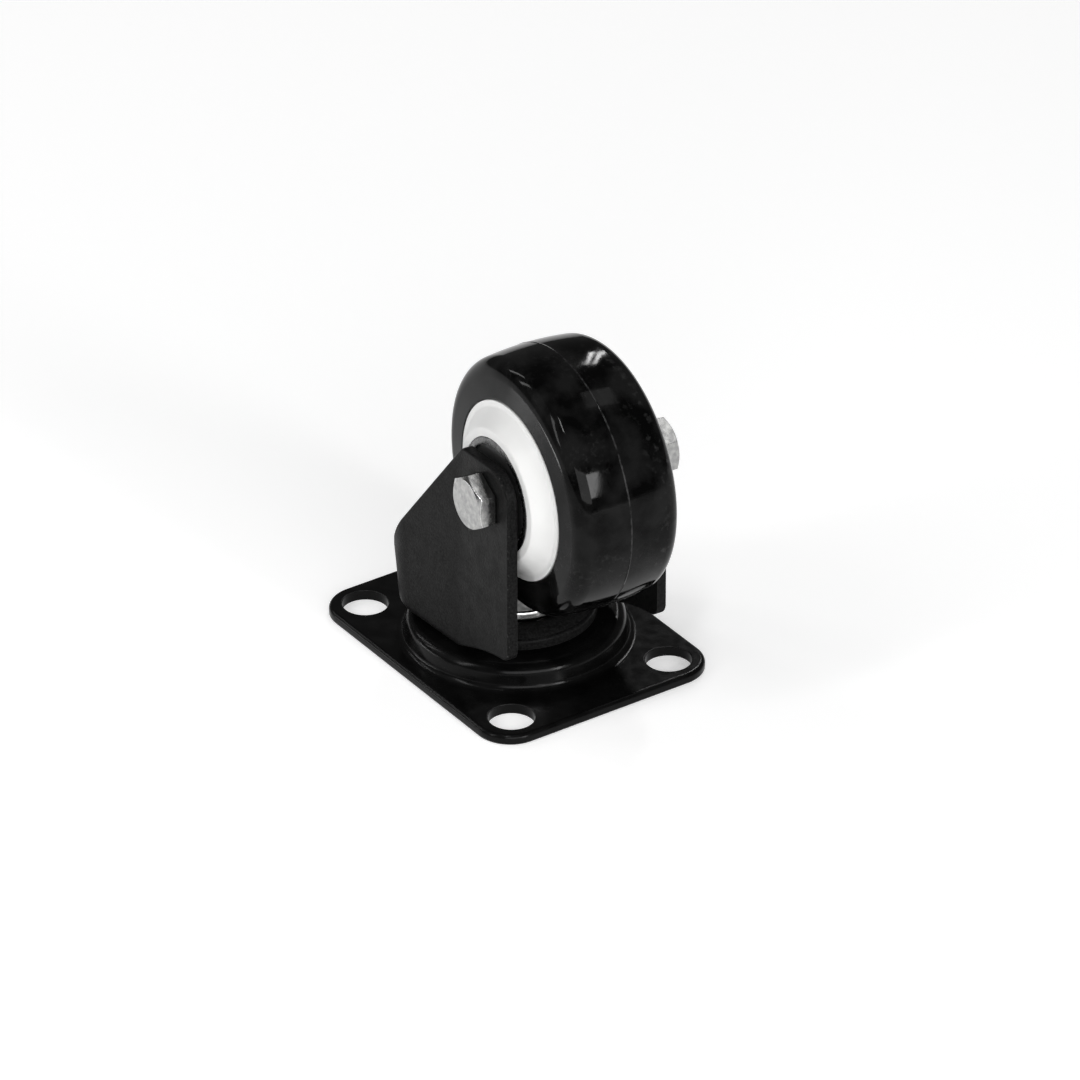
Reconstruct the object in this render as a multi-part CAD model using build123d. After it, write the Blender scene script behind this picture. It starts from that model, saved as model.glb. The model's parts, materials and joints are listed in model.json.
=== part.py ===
from build123d import *
import os
from math import sqrt

# Swivel plate castor, 50 mm wheel, standing upside down on its mounting plate.
# Millimetres. Z is the swivel axis and z = 0 is the mounting face of the plate.
# The wheel trails towards +X, and Y runs along the axle from bolt head to nut.

# Driving dimensions: mounting plate
plate_length = 61.2
plate_width = 49.0
plate_sheet = 2.0
plate_corner = 7.0
plate_edge_round = 0.8
plate_under_round = 0.5
hole_spacing_x = 48.0
hole_spacing_y = 35.0
hole_radius = 4.37
boss_foot_radius = 20.9
boss_top_radius = 20.2
boss_top = 6.6
boss_edge_round = 1.9
boss_foot_round = 1.4

# Driving dimensions: swivel head
fork_gap = 0.5
load_ball_radius = 2.0
load_ball_circle = 11.5
load_ball_count = 16
upper_ball_radius = 1.7
upper_ball_circle = 6.8
upper_ball_count = 11
upper_ball_seat = 0.7
race_clearance = 0.05
kingpin_radius = 4.0
kingpin_neck_radius = 3.0
kingpin_foot_radius = 7.0
kingpin_foot_height = 2.2
kingpin_head_radius = 5.6
kingpin_head_height = 2.6
cup_radius = 10.8
cup_sheet = 1.5
cup_edge_round = 0.55

# Driving dimensions: fork
rest_turn = -4.14
fork_sheet = 2.0
fork_half_width = 16.8
fork_front = 25.8
fork_foot_radius = 21.6
fork_back_radius = 22.9
flare_height = 19.0
fork_rear_corner = 9.0
splay_start = 9.0
splay_angle = 6.5
splay_round = 22.0
fork_bend_inside = 0.4
fork_edge_round = 0.4
fork_base_front_radius = 15.0
fork_base_edge_round = 0.6
race_bead_sheet = 1.5
fork_hole_radius = 4.8
lug_front_height = 52.9
lug_front_corner = 6.0
lug_back_corner = 2.5
slant_top = (9.2, 51.25)
slant_end = (-9.9, 26.6)
rim_back = (-fork_back_radius, 15.2)
rim_back_heading = (-6.0, -1.0)
toe_start = 5.0
toe_start_heading = (5.0, 2.0)
toe_height = 14.0
toe_end_heading = (8.0, 1.0)
toe_corner = 2.5

# Driving dimensions: wheel
trail = 17.05
axle_height = 44.5
wheel_radius = 25.0
shoulder_radius = 24.1
shoulder_half_width = 10.5
shoulder_round = 3.6
tread_lip_round = 0.5
core_rim_radius = 17.0
core_half_width = 11.25
core_seat_radius = 18.4
core_seat_half_width = 9.4
core_key_radius = 17.2
core_key_half_width = 2.2
core_rim_inner = 15.9
core_round = 0.6
hub_radius = 12.6
seam_place = -0.5
seam_height = 0.07
seam_half_width = 0.2

# Driving dimensions: axle and wheel bearings
bolt_radius = 3.0
bolt_head_flats = 9.8
bolt_head_height = 3.6
hexagon_face_share = 0.475
hexagon_foot_chamfer = 0.3
bolt_tip = 22.8
bolt_point = 0.6
hexagon_turn = -31.8
nut_height = 5.0
leg_hole_radius = 3.2
sleeve_bore = 3.15
sleeve_radius = 4.0
spacer_radius = 5.6
bearing_outer_radius = 11.0
bearing_inner_face = 7.15
bearing_width = 7.0
bearing_ball_radius = 1.985
bearing_ball_circle = 7.5
bearing_ball_count = 7
ring_edge_round = 0.3
inner_ring_radius = 6.0
outer_ring_bore = 8.9
bearing_stop_radius = 9.6
cage_bore = 6.75
cage_radius = 8.25
cage_setback = 0.6
cage_length = 3.4
cage_clearance = 0.12
seal_bore = 6.3
seal_radius = 9.6
seal_sheet = 0.6
seal_setback = 0.25

# Heights and places worked out from the driving dimensions
boss_under = boss_top - plate_sheet
fork_under = boss_top + fork_gap
fork_top = fork_under + fork_sheet
load_ball_height = (boss_top + fork_under) / 2
upper_ball_height = fork_top + upper_ball_radius - upper_ball_seat
cup_under = upper_ball_height + upper_ball_radius - upper_ball_seat
cup_top = cup_under + cup_sheet
fork_inside = fork_half_width - fork_sheet
bearing_outer_face = bearing_inner_face + bearing_width
bearing_middle = bearing_inner_face + bearing_width / 2
cage_start = bearing_inner_face + cage_setback
seal_outer_face = bearing_outer_face - seal_setback
seal_inner_face = seal_outer_face - seal_sheet
wheel_centre = Pos(trail, 0, axle_height)
swivel_turn = Rot(0, 0, rest_turn)


def turned_about_z(*outline):
    """Revolve an (r, z) outline about the swivel axis."""
    profile = make_face(Polyline(*outline, close=True))
    return revolve(Plane.XZ * profile, Axis.Z)


def turned_about_axle(*outline):
    """Revolve an (r, y) outline about the axle, with the wheel at the origin."""
    profile = make_face(Polyline(*outline, close=True))
    return revolve(profile, Axis.Y)


def on_axle(shape):
    """Carry a piece from the origin to the axle of the turned fork."""
    return swivel_turn * wheel_centre * shape


def circles_at(shape, radius, axis, place):
    """The circular edges of one radius at one place along an axis."""
    edges = shape.edges().filter_by(GeomType.CIRCLE)
    edges = edges.filter_by(lambda edge: abs(edge.radius - radius) < 0.01)
    return edges.filter_by_position(axis, place - 0.01, place + 0.01)


def ball_ring(radius, circle, count):
    """A ring of separate balls about Z."""
    return Compound([place * Sphere(radius) for place in PolarLocations(circle, count)])


# Top plate: steel sheet with a pressed boss, whose top carries the load race
def make_top_plate():
    blank = extrude(RectangleRounded(plate_length, plate_width, plate_corner), plate_sheet)
    blank = fillet(blank.edges().group_by(Axis.Z)[-1], plate_edge_round)
    blank = fillet(blank.edges().group_by(Axis.Z)[0], plate_under_round)
    boss = turned_about_z(
        (0, 0),
        (boss_foot_radius, 0),
        (boss_foot_radius, plate_sheet),
        (boss_top_radius, boss_top),
        (0, boss_top),
    )
    plate = blank + boss
    plate = fillet(circles_at(plate, boss_foot_radius, Axis.Z, plate_sheet), boss_foot_round)
    plate = fillet(circles_at(plate, boss_top_radius, Axis.Z, boss_top), boss_edge_round)
    wall_foot = boss_foot_radius - plate_sheet
    wall_top = boss_top_radius - plate_sheet
    hollow = turned_about_z((0, 0), (wall_foot, 0), (wall_top, boss_under), (0, boss_under))
    plate = plate - hollow
    race_back = Pos(0, 0, load_ball_height) * Torus(load_ball_circle, load_ball_radius + plate_sheet)
    below_top = Pos(0, 0, boss_top / 2) * Cylinder(wall_top, boss_top)
    plate = plate + (race_back & below_top)
    plate = plate - Pos(0, 0, load_ball_height) * Torus(load_ball_circle, load_ball_radius + race_clearance)
    for place in GridLocations(hole_spacing_x, hole_spacing_y, 2, 2):
        plate = plate - place * Cylinder(hole_radius, 4 * plate_sheet)
    return plate - Cylinder(kingpin_radius, 4 * boss_top)


# Kingpin: headed under the boss, shouldered under the cup and riveted over it
def make_kingpin():
    foot = boss_under - kingpin_foot_height
    shaft = turned_about_z(
        (0, foot),
        (kingpin_foot_radius, foot),
        (kingpin_foot_radius, boss_under),
        (kingpin_radius, boss_under),
        (kingpin_radius, cup_under),
        (kingpin_neck_radius, cup_under),
        (kingpin_neck_radius, cup_top),
        (0, cup_top),
    )
    dome_radius = (kingpin_head_radius**2 + kingpin_head_height**2) / (2 * kingpin_head_height)
    dome = Pos(0, 0, cup_top + kingpin_head_height - dome_radius) * Sphere(dome_radius)
    head_middle = cup_top + kingpin_head_height / 2
    above_cup = Pos(0, 0, head_middle) * Cylinder(kingpin_head_radius, kingpin_head_height)
    return shaft + (dome & above_cup)


# Retaining cup: zinc washer over the upper balls, clamped by the kingpin
def make_race_cup():
    cup = turned_about_z(
        (kingpin_neck_radius, cup_under),
        (cup_radius, cup_under),
        (cup_radius, cup_top),
        (kingpin_neck_radius, cup_top),
    )
    cup = fillet(circles_at(cup, cup_radius, Axis.Z, cup_top), cup_edge_round)
    return cup - Pos(0, 0, upper_ball_height) * Torus(upper_ball_circle, upper_ball_radius + race_clearance)


# Fork: one steel sheet drawn into a round base, a low back and two flat legs
def fork_plan(back_radius):
    """Plan of the drawn wall: flat legs, splayed rear walls and a round back, open in front."""
    bend = Vector(splay_start, -fork_half_width)
    away = Vector(-1, 0).rotate(Axis.Z, splay_angle)
    reach = sqrt(bend.dot(away) ** 2 + back_radius**2 - bend.dot(bend)) - bend.dot(away)
    corner = bend + away * reach
    near_wall = Polyline((2 * fork_front, -fork_half_width), bend, corner)
    back = ThreePointArc(corner, (-back_radius, 0), (corner.X, -corner.Y))
    opening = Line((2 * fork_front, fork_half_width), (2 * fork_front, -fork_half_width))
    plan = make_face([near_wall, mirror(near_wall, about=Plane.XZ), back, opening])
    ends = plan.vertices().group_by(Axis.X)
    plan = fillet(ends[0], fork_rear_corner)
    bends = plan.vertices().filter_by_position(Axis.X, splay_start - 0.01, splay_start + 0.01)
    return fillet(bends, splay_round)


def fork_trough(inset, floor, bend):
    """The space inside the drawn wall above a floor: flared at the foot, with the bend round its floor."""
    foot = Pos(0, 0, floor) * offset(fork_plan(fork_foot_radius), -inset)
    rim = Pos(0, 0, flare_height) * offset(fork_plan(fork_back_radius), -inset)
    trough = loft([foot, rim], ruled=True) + extrude(rim, lug_front_height)
    foot_edges = trough.edges().group_by(Axis.Z)[0].sort_by(Axis.X)
    return fillet(foot_edges[:-1], bend)


def fork_side():
    """Side view of the fork: lugs round the axle, slanting back edge, rising toe."""
    corner = (fork_front, lug_front_height)
    toe_end = (fork_front, toe_height)
    heading = Vector(*slant_end) - Vector(*slant_top)
    outline = [
        Polyline(corner, slant_top, slant_end),
        Spline(slant_end, rim_back, tangents=[heading, rim_back_heading]),
        Polyline(rim_back, (-fork_back_radius, 0), (toe_start, 0), (toe_start, fork_under)),
        Spline((toe_start, fork_under), toe_end, tangents=[toe_start_heading, toe_end_heading]),
        Line(toe_end, corner),
    ]
    side = make_face(outline)
    side = fillet(side.vertices().sort_by_distance(corner)[0], lug_front_corner)
    side = fillet(side.vertices().sort_by_distance(slant_top)[0], lug_back_corner)
    return fillet(side.vertices().sort_by_distance(toe_end)[0], toe_corner)


def make_fork():
    outside = fork_trough(0, fork_under, fork_bend_inside + fork_sheet)
    inside = fork_trough(fork_sheet, fork_top, fork_bend_inside)
    fork = (outside - inside) & extrude(Plane.XZ * fork_side(), fork_back_radius, both=True)
    front_edges = fork.edges().filter_by(Axis.Z).group_by(Axis.X)[-1]
    outer_edges = front_edges.filter_by(lambda edge: abs(edge.center().Y) > fork_half_width - 0.01)
    fork = fillet(outer_edges, fork_edge_round)
    base = Pos(0, 0, fork_under + fork_sheet / 2) * Cylinder(fork_base_front_radius, fork_sheet)
    fork = fork + fillet(base.edges().group_by(Axis.Z)[-1], fork_base_edge_round)
    race = load_ball_radius + race_clearance
    bead = Pos(0, 0, load_ball_height) * Torus(load_ball_circle, race + race_bead_sheet)
    above_boss = Pos(0, 0, fork_under + race) * Cylinder(fork_base_front_radius, 2 * race)
    fork = fork + (bead & above_boss)
    fork = fork - Pos(0, 0, load_ball_height) * Torus(load_ball_circle, race)
    upper_race = Torus(upper_ball_circle, upper_ball_radius + race_clearance)
    fork = fork - Pos(0, 0, upper_ball_height) * upper_race
    fork = fork - Cylinder(fork_hole_radius, 4 * fork_top)
    return fork - wheel_centre * Rot(90, 0, 0) * Cylinder(leg_hole_radius, 4 * fork_half_width)


# Axle: zinc bolt through both legs, with a nut, a sleeve and a spacer at each leg
def hexagon_block(flats, start, end):
    """A hexagon between two places on the axle, turned off at the outer end and bevelled at the foot."""
    inward = 1 if end < start else -1
    corner_radius = flats / sqrt(3)
    face_radius = hexagon_face_share * flats
    outer_chamfer = (corner_radius - face_radius) / sqrt(3)
    hexagon = extrude(RegularPolygon(flats / 2, 6, major_radius=False), abs(end - start))
    hexagon = chamfer(hexagon.edges().group_by(Axis.Z)[0], hexagon_foot_chamfer)
    block = Pos(0, start, 0) * Rot(90 * inward, 0, 0) * hexagon
    turning = turned_about_axle(
        (0, start),
        (corner_radius, start),
        (corner_radius, end + inward * outer_chamfer),
        (face_radius, end),
        (0, end),
    )
    return Rot(0, hexagon_turn, 0) * (block & turning)


def make_axle_bolt():
    shank = turned_about_axle(
        (0, -fork_half_width), (bolt_radius, -fork_half_width), (bolt_radius, bolt_tip - bolt_point),
        (bolt_radius - bolt_point, bolt_tip), (0, bolt_tip),
    )
    return shank + hexagon_block(bolt_head_flats, -fork_half_width, -fork_half_width - bolt_head_height)


def make_axle_nut():
    block = hexagon_block(bolt_head_flats, fork_half_width, fork_half_width + nut_height)
    return block - Rot(90, 0, 0) * Cylinder(bolt_radius, 4 * fork_half_width)


def tube_on_axle(bore, radius, start, end):
    return turned_about_axle((bore, start), (radius, start), (radius, end), (bore, end))


# Wheel: hard white core with a black tread cast round its rim
def both_sides(half):
    """An outline's half on +Y, followed by its mirror image back along -Y."""
    return half + [(radius, -place) for radius, place in reversed(half)]


def make_wheel_core():
    core = turned_about_axle(*both_sides([
        (bearing_stop_radius, bearing_inner_face), (bearing_outer_radius, bearing_inner_face),
        (bearing_outer_radius, bearing_outer_face), (hub_radius, bearing_outer_face),
        (core_rim_inner, core_half_width), (core_rim_radius, core_half_width),
        (core_rim_radius, core_seat_half_width), (core_seat_radius, core_seat_half_width),
        (core_seat_radius, core_key_half_width), (core_key_radius, core_key_half_width),
    ]))
    for side in (1, -1):
        core = fillet(circles_at(core, hub_radius, Axis.Y, side * bearing_outer_face), core_round)
        core = fillet(circles_at(core, core_rim_inner, Axis.Y, side * core_half_width), core_round)
    return core


def make_tread():
    shoulders = [(shoulder_radius, side * shoulder_half_width) for side in (1, -1)]
    inside = both_sides([
        (shoulder_radius, shoulder_half_width), (core_rim_radius, core_half_width),
        (core_rim_radius, core_seat_half_width), (core_seat_radius, core_seat_half_width),
        (core_seat_radius, core_key_half_width), (core_key_radius, core_key_half_width),
    ])
    section = make_face([Polyline(*inside), ThreePointArc(shoulders[0], (wheel_radius, 0), shoulders[1])])
    corners = section.vertices().filter_by_position(Axis.X, shoulder_radius - 0.01, shoulder_radius + 0.01)
    section = fillet(corners, shoulder_round)
    lips = section.vertices().filter_by(lambda vertex: abs(abs(vertex.Y) - core_half_width) < 0.01)
    tread = revolve(fillet(lips, tread_lip_round), Axis.Y)
    seam = turned_about_axle(
        (wheel_radius - seam_height, seam_place - 2 * seam_half_width),
        (wheel_radius + seam_height, seam_place),
        (wheel_radius - seam_height, seam_place + 2 * seam_half_width),
    )
    return tread + seam


# Wheel bearings: one deep-groove ball bearing in each end of the hub
def bearing_race():
    groove = Rot(90, 0, 0) * Torus(bearing_ball_circle, bearing_ball_radius + race_clearance)
    return Pos(0, bearing_middle, 0) * groove


def bearing_balls(radius):
    ring = ball_ring(radius, bearing_ball_circle, bearing_ball_count)
    return Pos(0, bearing_middle, 0) * Rot(90, 0, 0) * ring


def make_outer_ring():
    ring = tube_on_axle(outer_ring_bore, bearing_outer_radius, bearing_inner_face, bearing_outer_face)
    ring = fillet(circles_at(ring, bearing_outer_radius, Axis.Y, bearing_outer_face), ring_edge_round)
    return ring - bearing_race() - tube_on_axle(0, seal_radius, seal_inner_face, bearing_outer_face)


def make_inner_ring():
    ring = tube_on_axle(sleeve_radius, inner_ring_radius, bearing_inner_face, bearing_outer_face)
    return ring - bearing_race()


def make_cage():
    crown = tube_on_axle(cage_bore, cage_radius, cage_start, cage_start + cage_length)
    return crown - bearing_balls(bearing_ball_radius + cage_clearance)


load_ring = ball_ring(load_ball_radius, load_ball_circle, load_ball_count)
upper_ring = ball_ring(upper_ball_radius, upper_ball_circle, upper_ball_count)
pieces = {
    "top_plate": make_top_plate(),
    "kingpin": make_kingpin(),
    "race_cup": make_race_cup(),
    "load_balls": Pos(0, 0, load_ball_height) * load_ring,
    "upper_balls": Pos(0, 0, upper_ball_height) * upper_ring,
    "fork": swivel_turn * make_fork(),
    "axle_bolt": on_axle(make_axle_bolt()),
    "axle_nut": on_axle(make_axle_nut()),
    "axle_sleeve": on_axle(tube_on_axle(sleeve_bore, sleeve_radius, -fork_inside, fork_inside)),
    "wheel_core": on_axle(make_wheel_core()),
    "tread": on_axle(make_tread()),
}
far_side = {
    "spacer": tube_on_axle(sleeve_radius, spacer_radius, bearing_outer_face, fork_inside),
    "bearing_outer_ring": make_outer_ring(),
    "bearing_inner_ring": make_inner_ring(),
    "bearing_balls": bearing_balls(bearing_ball_radius),
    "bearing_cage": make_cage(),
    "bearing_seal": tube_on_axle(seal_bore, seal_radius, seal_inner_face, seal_outer_face),
}
for name, shape in far_side.items():
    pieces[name + "_far"] = on_axle(shape)
    pieces[name + "_near"] = on_axle(mirror(shape, about=Plane.XZ))

os.makedirs("parts", exist_ok=True)
for name, shape in pieces.items():
    export_step(shape, f"parts/{name}.step")
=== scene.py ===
import bmesh
import bpy
import json
import math
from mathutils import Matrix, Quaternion, Vector


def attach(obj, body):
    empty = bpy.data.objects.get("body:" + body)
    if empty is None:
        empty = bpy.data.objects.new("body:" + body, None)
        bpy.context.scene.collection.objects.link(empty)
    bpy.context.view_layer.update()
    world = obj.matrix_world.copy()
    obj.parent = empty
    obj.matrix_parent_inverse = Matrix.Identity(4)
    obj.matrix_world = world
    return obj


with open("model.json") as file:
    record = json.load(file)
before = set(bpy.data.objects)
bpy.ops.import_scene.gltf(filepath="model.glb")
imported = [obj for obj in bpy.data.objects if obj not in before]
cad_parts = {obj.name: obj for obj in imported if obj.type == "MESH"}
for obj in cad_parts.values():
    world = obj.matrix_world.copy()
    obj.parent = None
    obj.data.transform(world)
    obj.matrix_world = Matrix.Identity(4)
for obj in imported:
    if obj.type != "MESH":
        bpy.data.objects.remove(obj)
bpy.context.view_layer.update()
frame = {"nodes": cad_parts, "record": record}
nodes = frame["nodes"]
mm = 0.001


# Top plate
# Pressed from two-millimetre steel sheet, with a round boss raised in its middle for the swivel race.
# The sheet is dipped in black paint and stoved, which leaves a hard gloss with a faint orange peel.
def new_finish(name):
    material = bpy.data.materials.new(name)
    material.use_nodes = True
    return material, material.node_tree.nodes["Principled BSDF"]


def shader(material, kind, **values):
    node = material.node_tree.nodes.new("ShaderNode" + kind)
    for socket, value in values.items():
        node.inputs[socket].default_value = value
    return node


def join(material, output, socket):
    material.node_tree.links.new(output, socket)


def grain(material, size, detail=3.0):
    """Noise whose lumps are about `size` metres across, the same all over the piece."""
    place = shader(material, "TexCoord")
    noise = shader(material, "TexNoise", Scale=1.0 / size, Detail=detail)
    join(material, place.outputs["Object"], noise.inputs["Vector"])
    return noise.outputs["Fac"]


def spread(material, source, low, high, start=0.3, end=0.7):
    """A value that goes from low to high while its source goes from start to end."""
    ramp = shader(material, "MapRange")
    for socket, value in (("From Min", start), ("From Max", end), ("To Min", low), ("To Max", high)):
        ramp.inputs[socket].default_value = value
    join(material, source, ramp.inputs["Value"])
    return ramp.outputs["Result"]


def grey(level):
    return (level, level, level)


def blend_colours(material, fac, dark, light):
    """Mix two colours; each is an (r, g, b) constant or another node's output."""
    first_colour, second_colour, mixed_colour = 6, 7, 2
    mix = shader(material, "Mix")
    mix.data_type = "RGBA"
    for socket, colour in ((mix.inputs[first_colour], dark), (mix.inputs[second_colour], light)):
        if isinstance(colour, tuple):
            socket.default_value = (*colour, 1.0)
        else:
            join(material, colour, socket)
    join(material, fac, mix.inputs["Factor"])
    return mix.outputs[mixed_colour]


def bumped(material, height, depth, normal=None):
    bump = shader(material, "Bump", Strength=1.0, Distance=depth)
    join(material, height, bump.inputs["Height"])
    if normal:
        join(material, normal, bump.inputs["Normal"])
    return bump.outputs["Normal"]


def softened_edge(material, radius):
    """A normal that rounds sharp edges."""
    bevel = shader(material, "Bevel", Radius=radius)
    bevel.samples = 6
    return bevel.outputs["Normal"]


def edge_nearness(material, edge_normal):
    """One on a sharp edge and zero away from it, told from how far the softened normal turns."""
    facing = shader(material, "VectorMath")
    facing.operation = "DOT_PRODUCT"
    join(material, edge_normal, facing.inputs[0])
    join(material, shader(material, "NewGeometry").outputs["Normal"], facing.inputs[1])
    return spread(material, facing.outputs["Value"], 1.0, 0.0, start=0.82, end=0.99)


def black_paint(name, dark, light, cloud_size, gloss, dull, specular, grain_size, grain_depth, edge_round):
    """Black paint with faint clouds and a little dust, paler on its edges, partly from wear and partly as a
    painted edge highlight.
    """
    dust_size, dust_colour, edge_wear_and_highlight_colour, gloss_patch = 0.45 * mm, grey(0.04), grey(0.03), 2.4 * mm
    material, surface = new_finish(name)
    edge_normal = softened_edge(material, edge_round)
    clouds = spread(material, grain(material, cloud_size), 0.0, 1.0)
    shade = blend_colours(material, clouds, grey(dark), grey(light))
    # Edges are painted paler: partly worn paint, partly a painted highlight where an edge would catch the
    # light.
    paled_edges = blend_colours(material, edge_nearness(material, edge_normal), shade, edge_wear_and_highlight_colour)
    dust = spread(material, grain(material, dust_size, detail=2.0), 0.0, 0.5, start=0.74, end=0.8)
    coat = blend_colours(material, dust, paled_edges, dust_colour)
    join(material, coat, surface.inputs["Base Color"])
    roughness = spread(material, grain(material, gloss_patch, detail=5.0), gloss, dull)
    join(material, roughness, surface.inputs["Roughness"])
    peel = bumped(material, grain(material, grain_size), grain_depth, edge_normal)
    join(material, peel, surface.inputs["Normal"])
    surface.inputs["Specular IOR Level"].default_value = specular
    return material, surface, coat


def dress(material, *names):
    for name in names:
        piece = nodes[name]
        piece.data.materials.clear()
        piece.data.materials.append(material)


plate_gloss, *_ = black_paint(
    "plate_gloss_black", dark=0.002, light=0.005, cloud_size=5.0 * mm, gloss=0.14, dull=0.24, specular=0.1,
    grain_size=1.1 * mm, grain_depth=0.006 * mm, edge_round=0.3 * mm,
)
dress(plate_gloss, "top_plate")


# Swivel head: kingpin, retaining cup and two rows of balls
# The pin and cup are mild steel, tumbled and bright zinc plated, so they shine unevenly.
# The balls are ground bearing steel, rolling between the plate, the fork and the cup.
def bare_metal(name, dark, light, rubbed, gloss, dull, ripple):
    """Metal with fine clouds and a slight ripple, rubbed brighter on its edges."""
    cloud_size, gloss_patch, ripple_size, edge_round = 1.1 * mm, 0.8 * mm, 0.7 * mm, 0.15 * mm
    material, surface = new_finish(name)
    edge_normal = softened_edge(material, edge_round)
    clouds = spread(material, grain(material, cloud_size, detail=6.0), 0.0, 1.0, start=0.36, end=0.66)
    shade = blend_colours(material, clouds, dark, light)
    paled_edges = blend_colours(material, edge_nearness(material, edge_normal), shade, rubbed)
    join(material, paled_edges, surface.inputs["Base Color"])
    roughness = spread(material, grain(material, gloss_patch, detail=5.0), gloss, dull)
    join(material, roughness, surface.inputs["Roughness"])
    waves = bumped(material, grain(material, ripple_size), ripple, edge_normal)
    join(material, waves, surface.inputs["Normal"])
    surface.inputs["Metallic"].default_value = 1.0
    return material


bright_zinc = bare_metal(
    "bright_zinc", dark=grey(0.58), light=(0.74, 0.74, 0.73), rubbed=grey(0.9),
    gloss=0.1, dull=0.2, ripple=0.004 * mm,
)
dress(bright_zinc, "kingpin", "race_cup")
ball_steel = bare_metal(
    "ball_steel", dark=grey(0.42), light=grey(0.55), rubbed=grey(0.6),
    gloss=0.06, dull=0.12, ripple=0.002 * mm,
)
dress(ball_steel, "load_balls", "upper_balls")


# Fork
# One blank of steel sheet drawn round at the back and flattened into two legs that hold the axle.
# It is powder coated a satin black with a fine grain; pale specks along the legs' front edges are partly
# paint chips and partly a painted highlight on the rounded edge.
fork_satin, fork_surface, fork_coat = black_paint(
    "fork_satin_black", dark=0.002, light=0.014, cloud_size=0.35 * mm, gloss=0.34, dull=0.5, specular=0.05,
    grain_size=0.35 * mm, grain_depth=0.05 * mm, edge_round=0.2 * mm,
)
joints = {joint["name"]: joint for joint in frame["record"]["behaviour"]["joints"]}
axle_centre = Vector(joints["wheel_spin"]["pos_m"])
axle_line = Vector(joints["wheel_spin"]["axis"]).normalized()
across = axle_line.cross(Vector((0, 0, 1))).normalized()


def arithmetic(material, operation, *terms):
    """One step of arithmetic on up to three terms, each a number or another node's output."""
    node = shader(material, "Math")
    node.operation = operation
    for socket, term in zip(node.inputs, terms):
        if isinstance(term, float):
            socket.default_value = term
        else:
            join(material, term, socket)
    return node.outputs["Value"]


def reach(material, output, axis):
    """How far a place or a normal of the resting piece reaches along an axis."""
    dot = shader(material, "VectorMath")
    dot.operation = "DOT_PRODUCT"
    dot.inputs[1].default_value = axis
    join(material, shader(material, "TexCoord").outputs[output], dot.inputs[0])
    return dot.outputs["Value"]


leg_face_start, leg_face_end = 16.1 * mm, 16.2 * mm
front_start, front_end = 20.0 * mm, 21.0 * mm
speck_size, chip_and_highlight_colour = 0.5 * mm, grey(0.1)
lean = arithmetic(fork_satin, "ABSOLUTE", reach(fork_satin, "Normal", axle_line))
off_cut_face = spread(fork_satin, lean, 0.0, 1.0, start=0.1, end=0.3)
off_flat_side = spread(fork_satin, lean, 1.0, 0.0, start=0.9, end=0.97)
on_rounding = arithmetic(fork_satin, "MULTIPLY", off_cut_face, off_flat_side)
off_middle = arithmetic(fork_satin, "ABSOLUTE", reach(fork_satin, "Object", axle_line))
on_legs = spread(fork_satin, off_middle, 0.0, 1.0, start=leg_face_start, end=leg_face_end)
# Pale specks on the rounded front edges of the legs: partly paint chips, partly a painted highlight along the
# edge.
chip_and_highlight_specks = spread(fork_satin, grain(fork_satin, speck_size), 0.0, 1.0, start=0.6, end=0.75)
at_front = spread(fork_satin, reach(fork_satin, "Object", across), 0.0, 1.0, start=front_start, end=front_end)
chips_and_highlight = on_rounding
for share in (on_legs, at_front, chip_and_highlight_specks):
    chips_and_highlight = arithmetic(fork_satin, "MULTIPLY", chips_and_highlight, share)
chipped_and_highlit_coat = blend_colours(fork_satin, chips_and_highlight, fork_coat, chip_and_highlight_colour)
join(fork_satin, chipped_and_highlit_coat, fork_surface.inputs["Base Color"])
dress(fork_satin, "fork")


# Axle: bolt, nut, sleeve and thin spacers
# A cold-headed hexagon bolt clamps both legs on a tube, with a washer-like spacer at each bearing.
# All are zinc plated; the bolt's rolled thread shows on the chamfered end that stands out of the nut.
grey_zinc = bare_metal(
    "grey_zinc", dark=grey(0.3), light=(0.45, 0.45, 0.44), rubbed=grey(0.9),
    gloss=0.12, dull=0.24, ripple=0.006 * mm,
)
dress(grey_zinc, "axle_bolt", "axle_nut", "axle_sleeve", "spacer_near", "spacer_far")
upright = across.cross(axle_line).normalized()
thread_start, thread_end = 21.9 * mm, 22.75 * mm
thread_root, thread_crest, thread_pitch = 2.4 * mm, 2.98 * mm, 0.5 * mm
root_half_width, crest_half_width = 0.45 * thread_pitch, 0.06 * thread_pitch
steps_per_turn, fade_share = 72, 1 / 8


def axle_point(radius, angle, along):
    return axle_centre + axle_line * along + (across * math.cos(angle) + upright * math.sin(angle)) * radius


def thread_ridge(builder):
    """A V-shaped ridge wound round the end of the bolt, fading out at both ends."""
    turns = (thread_end - thread_start - thread_pitch) / thread_pitch
    rows = []
    for step in range(int(steps_per_turn * turns) + 1):
        share = step / (steps_per_turn * turns)
        angle = math.tau * step / steps_per_turn
        middle = thread_start + thread_pitch / 2 + thread_pitch * step / steps_per_turn
        fade = min(1.0, share / fade_share, (1 - share) / fade_share)
        crest = thread_root + (thread_crest - thread_root) * fade
        rows.append([
            builder.verts.new(axle_point(thread_root, angle, middle - root_half_width)),
            builder.verts.new(axle_point(crest, angle, middle - crest_half_width)),
            builder.verts.new(axle_point(crest, angle, middle + crest_half_width)),
            builder.verts.new(axle_point(thread_root, angle, middle + root_half_width)),
        ])
    for low, high in zip(rows, rows[1:]):
        for k in range(4):
            builder.faces.new((low[k], low[(k + 1) % 4], high[(k + 1) % 4], high[k]))
    builder.faces.new(rows[0])
    builder.faces.new(rows[-1])


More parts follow.
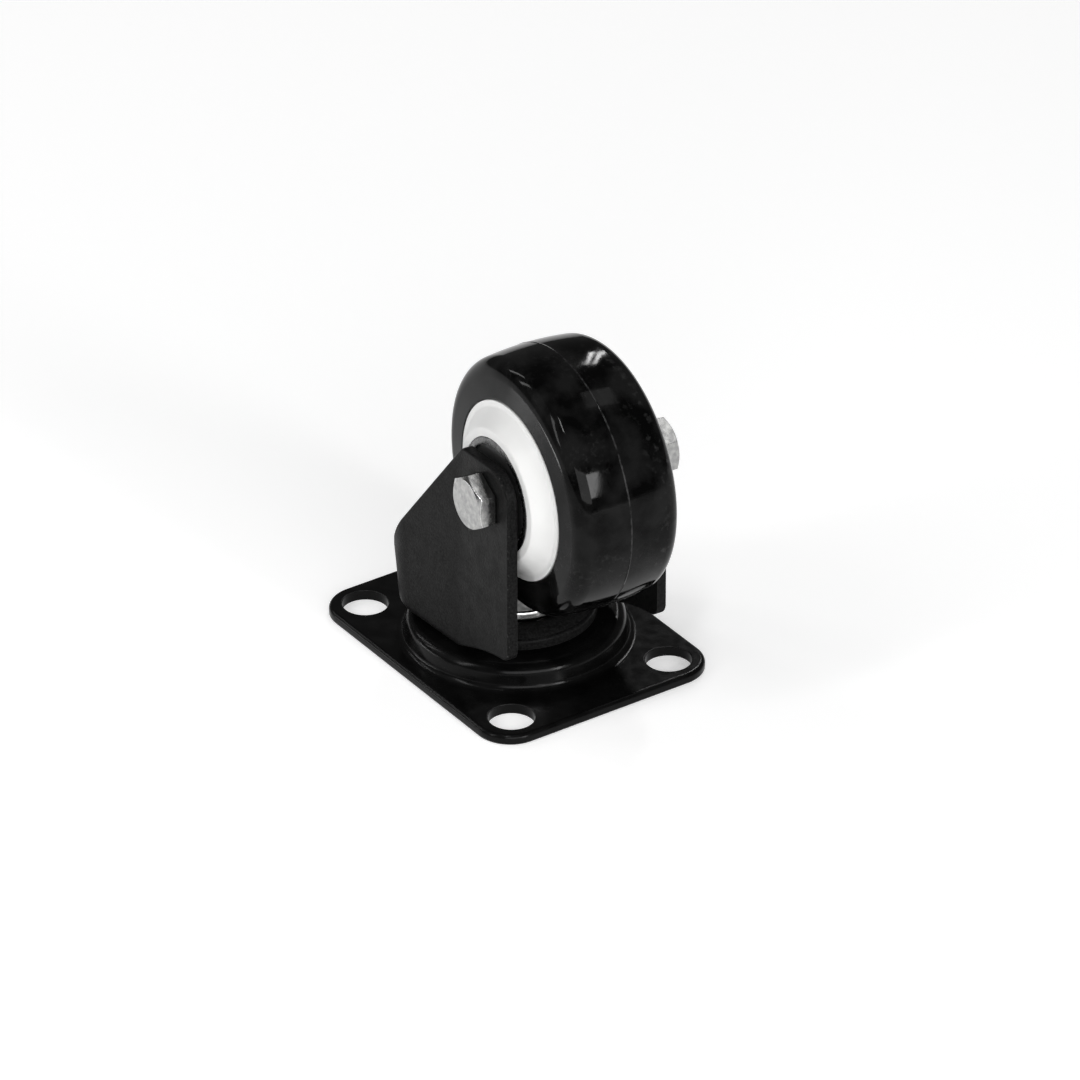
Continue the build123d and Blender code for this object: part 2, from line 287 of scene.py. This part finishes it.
def new_piece(name, mesh_builder, material, body):
    mesh = bpy.data.meshes.new(name)
    builder = bmesh.new()
    mesh_builder(builder)
    bmesh.ops.recalc_face_normals(builder, faces=builder.faces)
    builder.to_mesh(mesh)
    builder.free()
    mesh.shade_smooth()
    mesh.materials.append(material)
    piece = bpy.data.objects.new(name, mesh)
    bpy.context.collection.objects.link(piece)
    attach(piece, body)


new_piece("bolt_thread", thread_ridge, grey_zinc, "fork")


# Wheel bearings
# Two deep-groove ball bearings of the common eight-millimetre bore: ground rings and balls, a moulded nylon
# crown cage that parts the balls, and a nitrile rubber seal pressed into the outer ring.
dress(ball_steel, "bearing_balls_near", "bearing_balls_far")
ring_steel = bare_metal(
    "oiled_ring_steel", dark=grey(0.08), light=grey(0.14), rubbed=grey(0.2),
    gloss=0.2, dull=0.34, ripple=0.004 * mm,
)
for side in ("near", "far"):
    dress(ring_steel, "bearing_outer_ring_" + side, "bearing_inner_ring_" + side)


def moulding(name, dark, light, gloss, dull, grain_size):
    """Moulded plastic or rubber with soft edges, faint clouds and a fine grain."""
    cloud_size, gloss_patch, grain_depth, edge_round = 4.0 * mm, 1.5 * mm, 0.01 * mm, 0.25 * mm
    material, surface = new_finish(name)
    edge_normal = softened_edge(material, edge_round)
    shade = blend_colours(material, grain(material, cloud_size), dark, light)
    join(material, shade, surface.inputs["Base Color"])
    roughness = spread(material, grain(material, gloss_patch, detail=4.0), gloss, dull)
    join(material, roughness, surface.inputs["Roughness"])
    texture = bumped(material, grain(material, grain_size), grain_depth, edge_normal)
    join(material, texture, surface.inputs["Normal"])
    return material


cage_nylon = moulding(
    "cage_nylon", dark=(0.2, 0.19, 0.17), light=(0.26, 0.25, 0.22), gloss=0.45, dull=0.6, grain_size=0.5 * mm
)
dress(cage_nylon, "bearing_cage_near", "bearing_cage_far")
seal_rubber = moulding(
    "seal_rubber", dark=grey(0.006), light=grey(0.011), gloss=0.5, dull=0.65, grain_size=0.4 * mm
)
dress(seal_rubber, "bearing_seal_near", "bearing_seal_far")


# Wheel core
# Moulded in one shot from white polypropylene, with a hub that the bearings press into.
core_white = moulding(
    "core_white", dark=(0.82, 0.82, 0.81), light=(0.88, 0.88, 0.87), gloss=0.3, dull=0.42, grain_size=0.7 * mm
)
dress(core_white, "wheel_core")


# Tread
# Black polyurethane cast round the core in a polished two-part mould, whose joint leaves a fine raised line.
# The surface is glossy and a little wavy, with a bloom of handling marks and rubs on the far side.
tyre, tyre_surface = new_finish("tread_urethane")
shade_size, rub_size, mark_size, patch_size, seam_speckle_size = 7.0 * mm, 1.6 * mm, 0.8 * mm, 11.0 * mm, 1.5 * mm
rubs_start, rubs_end = 4.0 * mm, 6.5 * mm
seam_place, seam_half_width = -0.5 * mm, 0.16 * mm
gloss_patch = 5.0 * mm
wave_size, wave_depth, pit_size, pit_depth = 4.0 * mm, 0.006 * mm, 0.5 * mm, 0.003 * mm
along_axle = reach(tyre, "Object", axle_line)

clouds = spread(tyre, grain(tyre, shade_size, detail=4.0), 0.0, 1.0, start=0.42, end=0.62)
shade = blend_colours(tyre, clouds, grey(0.0015), grey(0.009))
far_side = spread(tyre, along_axle, 0.0, 1.0, start=rubs_start, end=rubs_end)
rubs = spread(tyre, grain(tyre, rub_size, detail=8.0), 0.0, 0.6, start=0.56, end=0.72)
rubbed = blend_colours(tyre, arithmetic(tyre, "MULTIPLY", far_side, rubs), shade, grey(0.032))
marks = spread(tyre, grain(tyre, mark_size, detail=8.0), 0.0, 0.4, start=0.54, end=0.9)
patches = spread(tyre, grain(tyre, patch_size, detail=2.0), 0.0, 1.0, start=0.5, end=0.65)
marked = blend_colours(tyre, arithmetic(tyre, "MULTIPLY", marks, patches), rubbed, grey(0.06))
# The raised seam line is painted paler in broken patches: partly dust along it, partly a painted highlight of
# the light it catches.
seam = arithmetic(tyre, "COMPARE", along_axle, seam_place, seam_half_width)
seam_speckle = spread(tyre, grain(tyre, seam_speckle_size, detail=4.0), 0.0, 1.0, start=0.4, end=0.62)
seam_dust_and_highlight = blend_colours(tyre, arithmetic(tyre, "MULTIPLY", seam, seam_speckle), marked, grey(0.035))
join(tyre, seam_dust_and_highlight, tyre_surface.inputs["Base Color"])

tyre_roughness = spread(tyre, grain(tyre, gloss_patch, detail=6.0), 0.03, 0.12)
join(tyre, tyre_roughness, tyre_surface.inputs["Roughness"])
waves = bumped(tyre, grain(tyre, wave_size, detail=1.0), wave_depth)
pits = bumped(tyre, grain(tyre, pit_size), pit_depth, waves)
join(tyre, pits, tyre_surface.inputs["Normal"])
tyre_surface.inputs["Specular IOR Level"].default_value = 0.075
dress(tyre, "tread")


# Studio: pale floor, soft lamps and the camera
# The castor stands on a white sheet, which glows a little to the camera and in mirrored surfaces only.
# Broad lamps light it evenly, and narrow ones make the bright bars and lines on the tread.
floor_size, floor_white, floor_glow, world_light = 6.0, 0.82, 0.42, 0.1
bpy.ops.mesh.primitive_plane_add(size=floor_size, location=(0, 0, 0))
floor = bpy.context.object
floor.name = "studio_floor"
floor_sheet, floor_surface = new_finish("floor_white")
floor_surface.inputs["Base Color"].default_value = (*grey(floor_white), 1.0)
floor_surface.inputs["Roughness"].default_value = 0.9
floor_surface.inputs["Specular IOR Level"].default_value = 0.0
floor_surface.inputs["Emission Color"].default_value = (*grey(1.0), 1.0)
rays = shader(floor_sheet, "LightPath")
seen = rays.outputs["Is Camera Ray"]
for kind in ("Is Glossy Ray", "Is Transmission Ray"):
    seen = arithmetic(floor_sheet, "MAXIMUM", seen, rays.outputs[kind])
glow = spread(floor_sheet, seen, 0.0, floor_glow, start=0.0, end=1.0)
join(floor_sheet, glow, floor_surface.inputs["Emission Strength"])
floor.data.materials.append(floor_sheet)

world = bpy.data.worlds.new("studio")
bpy.context.scene.world = world
world.use_nodes = True
background = world.node_tree.nodes["Background"]
background.inputs["Color"].default_value = (*grey(1.0), 1.0)
background.inputs["Strength"].default_value = world_light


def direction(azimuth, elevation):
    a, e = math.radians(azimuth), math.radians(elevation)
    return Vector((math.sin(a) * math.cos(e), -math.cos(a) * math.cos(e), math.sin(e)))


aim = Vector((7.05, 0.485, 25.0)) * mm
view_back = direction(azimuth=55.40, elevation=31.38)
camera_distance = 1.805
camera_data = bpy.data.cameras.new("camera")
camera_data.sensor_width = 36.0
camera_data.lens = 328.6
camera = bpy.data.objects.new("camera", camera_data)
camera.location = aim + view_back * camera_distance
camera.rotation_euler = view_back.to_track_quat("Z", "Y").to_euler()
bpy.context.collection.objects.link(camera)
bpy.context.scene.camera = camera


def soft_lamp(name, azimuth, elevation, width, height, watts, roll=0.0, distance=1.2):
    """A rectangular lamp that faces the castor, in metres, turned by `roll` degrees about its own line."""
    away = direction(azimuth, elevation)
    data = bpy.data.lights.new(name, "AREA")
    data.shape = "RECTANGLE"
    data.size = width
    data.size_y = height
    data.energy = watts
    lamp = bpy.data.objects.new(name, data)
    lamp.location = aim + away * distance
    lamp.visible_camera = False
    facing = away.to_track_quat("Z", "Y") @ Quaternion((0, 0, 1), math.radians(roll))
    lamp.rotation_euler = facing.to_euler()
    bpy.context.collection.objects.link(lamp)


soft_lamp("fill_lamp", azimuth=-20.0, elevation=40.0, width=0.9, height=0.9, watts=0.8)
soft_lamp("key_lamp", azimuth=68.0, elevation=20.0, width=1.1, height=0.55, watts=8.0)
soft_lamp("key_right", azimuth=98.0, elevation=20.0, width=0.14, height=0.4, watts=4.0, roll=-10.0)
soft_lamp("strip_front", azimuth=-3.0, elevation=36.0, width=0.12, height=0.7, watts=2.4)
soft_lamp("strip_top", azimuth=40.0, elevation=68.0, width=0.08, height=0.3, watts=2.2)
soft_lamp("window_left", azimuth=-134.3, elevation=38.4, width=0.018, height=0.31, watts=0.7, roll=16.0)
soft_lamp("window_right", azimuth=-136.7, elevation=38.0, width=0.018, height=0.33, watts=0.7, roll=18.0)
soft_lamp("rear_lamp", azimuth=173.0, elevation=64.0, width=0.3, height=0.2, watts=0.3)
soft_lamp("side_left", azimuth=-68.0, elevation=34.0, width=0.07, height=0.45, watts=0.9)
soft_lamp("side_right", azimuth=-50.0, elevation=34.0, width=0.07, height=0.45, watts=0.9)
soft_lamp("low_strip", azimuth=-38.0, elevation=-7.4, width=0.07, height=0.008, watts=0.02, distance=0.145)

bpy.context.scene.view_settings.view_transform = "Standard"
